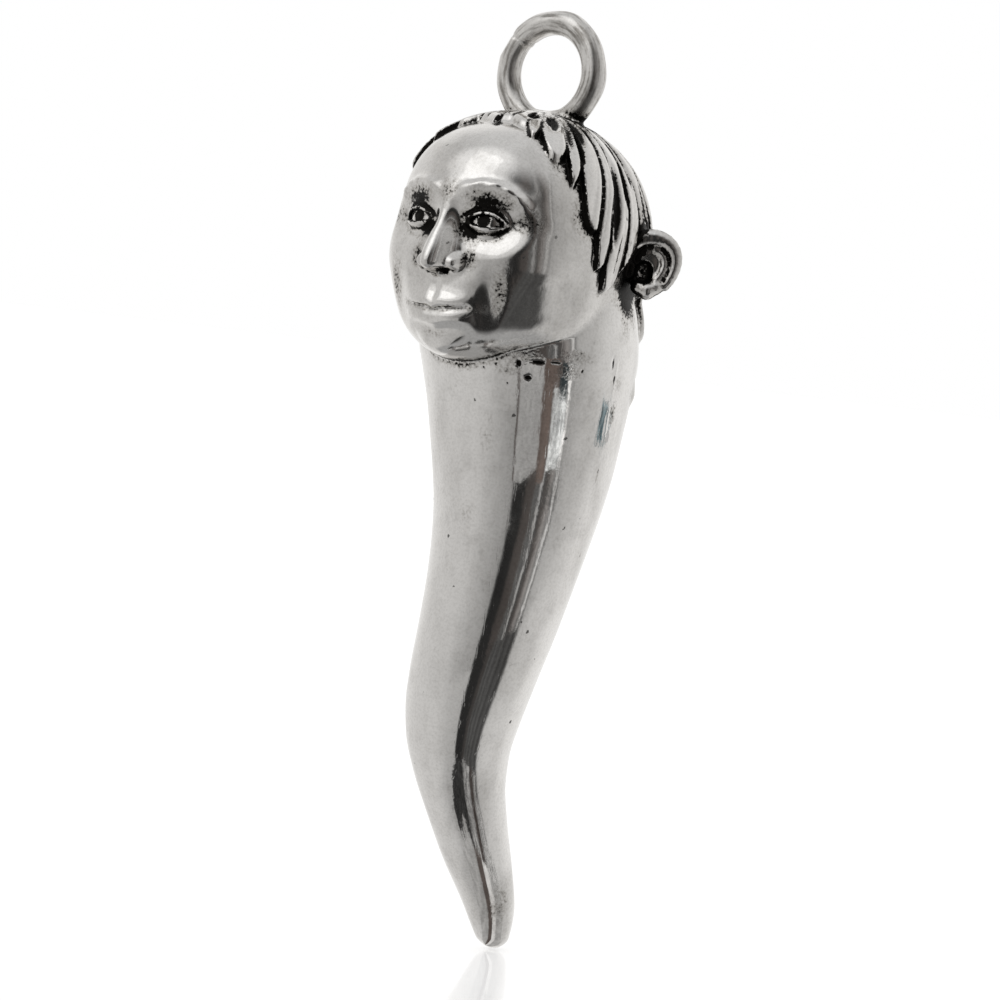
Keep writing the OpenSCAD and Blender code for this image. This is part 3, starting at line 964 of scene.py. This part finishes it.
def stageSheet(name, corners, faces, materials, centre=(0, 0, 0)):
    mesh = bpy.data.meshes.new(name)
    mesh.from_pydata([tuple(Vector(c) * mm) for c in corners], [], faces)
    for material in materials:
        mesh.materials.append(material)
    sheet = bpy.data.objects.new(name, mesh)
    sheet.location = Vector(centre) * mm
    scene.collection.objects.link(sheet)
    return sheet


def around(azimuth, distance, z):
    # a place round the pendant; azimuth is counted from the camera, to the picture's right
    turn = view["azimuth"] + azimuth
    return Vector((sinOf(turn) * distance, -cosOf(turn) * distance, z))


def makeFloor():
    # pale to the camera, and no brighter than the room in the silver's reflections
    material = plainMaterial("pale_floor", stage["floorTone"], 0.03)
    tree = material.node_tree
    seen = node(tree, "ShaderNodeLightPath").outputs["Is Camera Ray"]
    speck = noise(tree, objectCoords(tree), 900, 3)
    join(tree, times(tree, seen, plus(tree, times(tree, speck, 0.02), stage["floorGlow"])),
         tree.nodes["Principled BSDF"].inputs["Emission Strength"])
    half = stage["floorSize"] / 2
    corners = [(x, y, stage["floorZ"]) for x, y in ((-half, -half), (half, -half), (half, half), (-half, half))]
    floor = stageSheet("floor", corners, [(0, 1, 2, 3)], [material])
    floor.visible_glossy = False  # the silver mirrors the room, as it does when it hangs


makeFloor()

# brightness of the room by azimuth from the camera, to the picture's right
room = {
    # rows are azimuth, brightness and, where it has one, a warm tint; low is what stands below eye level
    "low": [(-180, 0.95), (-144, 0.69), (-118, 0.62), (-99, 0.595), (-84, 0.585), (-70, 0.58), (-57, 0.555),
            (-45, 0.505), (-33, 0.45), (-22, 0.43), (-9.5, 0.4), (-7, 0.022), (8, 0.024), (11, 0.045, 0.08),
            (15, 0.05, 0.08), (17, 0.09), (20, 0.05), (23, 0.1), (27, 0.055), (31, 0.1), (35, 0.05), (42, 0.09),
            (46, 0.045), (50, 0.1), (54, 0.48), (57, 0.53), (70, 0.57), (84, 0.6), (99, 0.63), (118, 0.74),
            (144, 0.8), (180, 0.95)],
    "high": [(-180, 0.95), (-118, 0.62), (-84, 0.575), (-57, 0.54), (-33, 0.415), (-22, 0.36), (-11, 0.31), (-8, 0.022),
             (5, 0.026), (9, 0.06, 0.12), (18, 0.07, 0.12), (20, 0.12), (25, 0.09), (27.5, 0.52), (29.5, 0.06),
             (34, 0.08, 0.1), (40, 0.28, 0.05), (44, 0.18), (46.5, 0.7), (49, 0.15), (52, 0.4), (72, 0.53),
             (90, 0.61), (118, 0.74), (180, 0.95)],
    "split": (-17.0, -14.5), "wobble": 0.08,  # where low turns to high, in degrees
    # a strip that stands close by the horn, seen in its upper part
    "strip": [(-10, 0.1, 0.1), (-8.4, 0.1, 0.1), (-8, 0.37), (14.6, 0.33), (15.2, 0.07, 0.3), (19, 0.12, 0.25),
              (22, 0.13, 0.3), (24.4, 0.07, 0.2), (25, 0.68, -0.03), (38.2, 0.76, -0.03), (38.6, 1.0), (41.4, 1.0),
              (41.8, 0.3), (48, 0.46)],
    # its upper end, over stripChange
    "stripEnd": [(-10, 0.1, 0.1), (-8.4, 0.1, 0.1), (-8, 0.42), (14.6, 0.38), (15.2, 0.08, 0.3), (28.5, 0.1, 0.25),
                 (30, 0.03, -0.3), (38.2, 0.04, -0.3), (38.6, 1.0), (41.4, 1.0), (41.8, 0.3), (48, 0.46)],
    "stripChange": -20.4, "stripRadius": 19.4, "stripTop": -17.5, "stripCentre": (0.5, 0.25, 0),
    "stripFoot": [(-10, -24.3), (0, -24.3), (15, -23.1), (15.3, -24.2), (24.6, -24.2), (25, -23.0), (42, -22.9),
                  (48, -24.0)],
    # blue scraps at the right edge of the upper horn
    "scraps": [(83, 0.52), (84, 0.14, -0.5), (87, 0.4, -0.2), (88, 0.08, -0.5), (92, 0.12, -0.5), (93, 0.6),
               (96, 0.55), (97, 0.13, -0.4), (100, 0.4, -0.2), (101, 0.6), (104, 0.6)],
    # what the tip sees low down before it: close by, and from "reach" to "rim" by azimuth
    "fan": [(-40, 0.42), (-22, 0.4), (-8, 0.37), (-3.5, 0.33), (-2, 0.09, 0.2), (12.5, 0.08, 0.2), (14.5, 0.7),
            (27, 0.66), (31, 0.38), (60, 0.48)],
    "fanEdge": [(-40, 0.42), (-35, 0.38), (-33.5, 0.03), (-1, 0.035), (2, 0.3), (14, 0.38), (17, 0.05, 0.2),
                (23, 0.05, 0.2), (28, 0.36), (36, 0.45), (60, 0.5)],
    "reach": [(-40, 8.4), (-36, 8.3), (-32, 7.6), (-24, 7.5), (-16, 8.4), (-10, 8.1), (0, 7.6), (12, 7.9), (16, 7.7),
              (60, 8.0)],
    "rim": [(-40, 8.6), (-34, 8.8), (-28, 10.0), (-22, 11.3), (-14, 12.4), (4, 12.6), (9, 12.0), (60, 11.9)],
    "fanSide": -0.45,
    # overhead and below, with the heights between which the sides fade into them, as sines
    "top": 0.62, "topFade": (0.45, 0.95), "below": 0.36, "belowFade": (-0.92, -0.74),
    # a soft window: azimuth, height, brightness, and the half angles of its full and its outer part
    "window": (-48, 42, 0.3), "windowSize": (26, 40),
}


def compassTones(tree, coords, table):
    # colours by azimuth from the camera
    turn = {"Rotation": (0, 0, math.radians(90 - view["azimuth"])), "Vector": coords}
    turned = node(tree, "ShaderNodeMapping", turn).outputs[0]
    compass = node(tree, "ShaderNodeTexGradient", {"Vector": turned}, gradient_type="RADIAL")
    tone = node(tree, "ShaderNodeValToRGB", {"Fac": compass.outputs["Fac"]})
    stops = tone.color_ramp.elements
    for i, (azimuth, value, *tint) in enumerate(table):
        at = 0.5 + azimuth / 360.0
        stop = stops[i] if i < 2 else stops.new(at)
        stop.position = at
        warm = tint[0] if tint else 0.0
        stop.color = (value * (1 + warm), value * 0.99, value * (0.975 - 0.4 * warm), 1)
    return tone.outputs["Color"]


def nearMaterial(name, table, speckle, grain=1500, across=0.8, level=False, calm=False):
    # glows with the tones of a table, mottled, for the things that stand close to the silver;
    # a calm one is mottled in its bright parts alone
    material = plainMaterial(name, 0, 1.0, 1.0)
    tree = material.node_tree
    shader = tree.nodes["Principled BSDF"].inputs
    coords = objectCoords(tree)
    tones = compassTones(tree, coords, room[table])
    spots = ramp(tree, noise(tree, coords, grain, 5, (across, across, 2.4)), 0.38, 0.62)
    mottle = math2(tree, "SUBTRACT", spots, 0.6)
    if calm:
        mottle = times(tree, mottle, plus(tree, times(tree, ramp(tree, tones, 0.4, 0.6), 0.75), 0.25))
    mottle = plus(tree, times(tree, mottle, speckle), 1.0)
    shade = node(tree, "ShaderNodeVectorMath", {0: tones, "Scale": mottle}, operation="SCALE")
    join(tree, shade.outputs[0], shader["Emission Color"])
    if level:
        # only level rays meet it, so that the horn mirrors it and the cheeks over it don't
        slant = ramp(tree, node(tree, "ShaderNodeLayerWeight").outputs["Facing"], 0.045, 0.085)
        join(tree, math2(tree, "SUBTRACT", 1.0, slant), shader["Alpha"])
    return material


def makeNear(name, corners, faces, centre, materials, pattern=(0,)):
    # only the silver sees it; pattern repeats the faces' materials
    near = stageSheet(name, corners, faces, materials, centre)
    near.visible_camera = near.visible_diffuse = near.visible_shadow = False
    near.data.polygons.foreach_set("material_index", list(pattern) * (len(faces) // len(pattern)))


def makeBand(name, turns, levels, materials):
    # stands upright round the pendant, between heights that are given for each azimuth
    n = len(levels)
    corners = [around(turn, room["stripRadius"], z) for turn, column in zip(turns, zip(*levels)) for z in column]
    faces = [(i + j, i + n + j, i + n + 1 + j, i + 1 + j) for i in range(0, len(corners) - n, n) for j in range(n - 1)]
    makeNear(name, corners, faces, room["stripCentre"], materials, range(n - 1))


def makeStrip():
    # its lower edge is ragged, and its upper end has tones of its own
    rng = np.random.default_rng(5)
    turns = np.linspace(-10, 48, 117)
    foot = np.interp(turns, *zip(*room["stripFoot"])) + rng.uniform(-0.12, 0.12, len(turns))
    change = room["stripChange"] + rng.uniform(-0.08, 0.08, len(turns))
    makeBand("room_strip", turns, (foot, change, np.full(len(turns), room["stripTop"])),
             [nearMaterial("strip_tones", "strip", 1.2, 2400, 0.35, level=True, calm=True),
              nearMaterial("strip_end_tones", "stripEnd", 0.4, level=True)])


def makeScraps():
    rng = np.random.default_rng(8)
    turns = np.linspace(83, 104, 43)
    ends = [(-20.6 + rng.uniform(-0.5, 0.4), -19.2 + rng.uniform(-0.4, 0.5)) for _ in turns]
    makeBand("room_scraps", turns, list(zip(*ends)), [nearMaterial("scrap_tones", "scraps", 1.2, level=True)])


def makeFan():
    # lies just under the floor, which the silver doesn't see
    turns = np.linspace(-40, 60, 101)
    reach = np.interp(turns, *zip(*room["reach"])) + np.random.default_rng(6).uniform(-0.25, 0.25, len(turns))
    rim = np.interp(turns, *zip(*room["rim"]))
    n = len(turns)
    corners = [Vector((0, 0, 0))] + [around(turn, r, 0) for rs in (reach, rim) for turn, r in zip(turns, rs)]
    faces = [face for i in range(1, n) for face in ((0, i, i + 1), (i, n + i, n + i + 1, i + 1))]
    centre = Vector((spineX[0], spineY[0], stage["floorZ"] - 0.05)) + viewRight * room["fanSide"]
    materials = [nearMaterial("fan_tones", "fan", 0.25), nearMaterial("fan_edge_tones", "fanEdge", 1.3, 3200)]
    makeNear("room_fan", corners, faces, centre, materials, (0, 1))


def makeWorld():
    world = bpy.data.worlds.new("tent")
    scene.world = world
    world.use_nodes = True
    tree = world.node_tree
    coords = node(tree, "ShaderNodeTexCoord").outputs["Generated"]
    rise = node(tree, "ShaderNodeSeparateXYZ", {0: coords}).outputs["Z"]
    low, high = (float(sinOf(v)) for v in room["split"])
    share = ramp(tree, plus(tree, rise, swing(tree, coords, 9, 4, room["wobble"])), low, high)
    tone = mix(tree, compassTones(tree, coords, room["low"]), compassTones(tree, coords, room["high"]), share)
    tone = mix(tree, (*[room["below"]] * 3, 1), tone, ramp(tree, rise, *room["belowFade"]))
    tone = mix(tree, tone, (*[room["top"]] * 3, 1), ramp(tree, rise, *room["topFade"]))
    azimuth, height, bright = room["window"]
    aim = around(azimuth, cosOf(height), sinOf(height))
    facing = node(tree, "ShaderNodeVectorMath", {0: coords, 1: aim}, operation="DOT_PRODUCT").outputs["Value"]
    inner, outer = (float(cosOf(v)) for v in room["windowSize"])
    glow = times(tree, ramp(tree, facing, outer, inner), bright)
    lit = node(tree, "ShaderNodeVectorMath", {0: tone, 1: glow}, operation="ADD").outputs[0]
    seen = node(tree, "ShaderNodeLightPath").outputs["Is Camera Ray"]
    join(tree, mix(tree, lit, (1, 1, 1, 1), seen), tree.nodes["Background"].inputs["Color"])


makeWorld()
makeStrip()
makeScraps()
makeFan()


def makeLight(name, centre, target, size, power):
    data = bpy.data.lights.new(name, "AREA")
    data.shape = "RECTANGLE"
    data.size = data.size_y = size * mm
    data.energy = power
    light = bpy.data.objects.new(name, data)
    turn = (Vector(target) - centre).to_track_quat("-Z", "Y").to_matrix().to_4x4()
    light.matrix_world = Matrix.Translation(centre * mm) @ turn
    scene.collection.objects.link(light)


makeLight("soft_top", around(-50, 260, 260), (0, 0, -15), 220, 0.05)
scene.view_settings.view_transform = "Standard"
print("stage set")
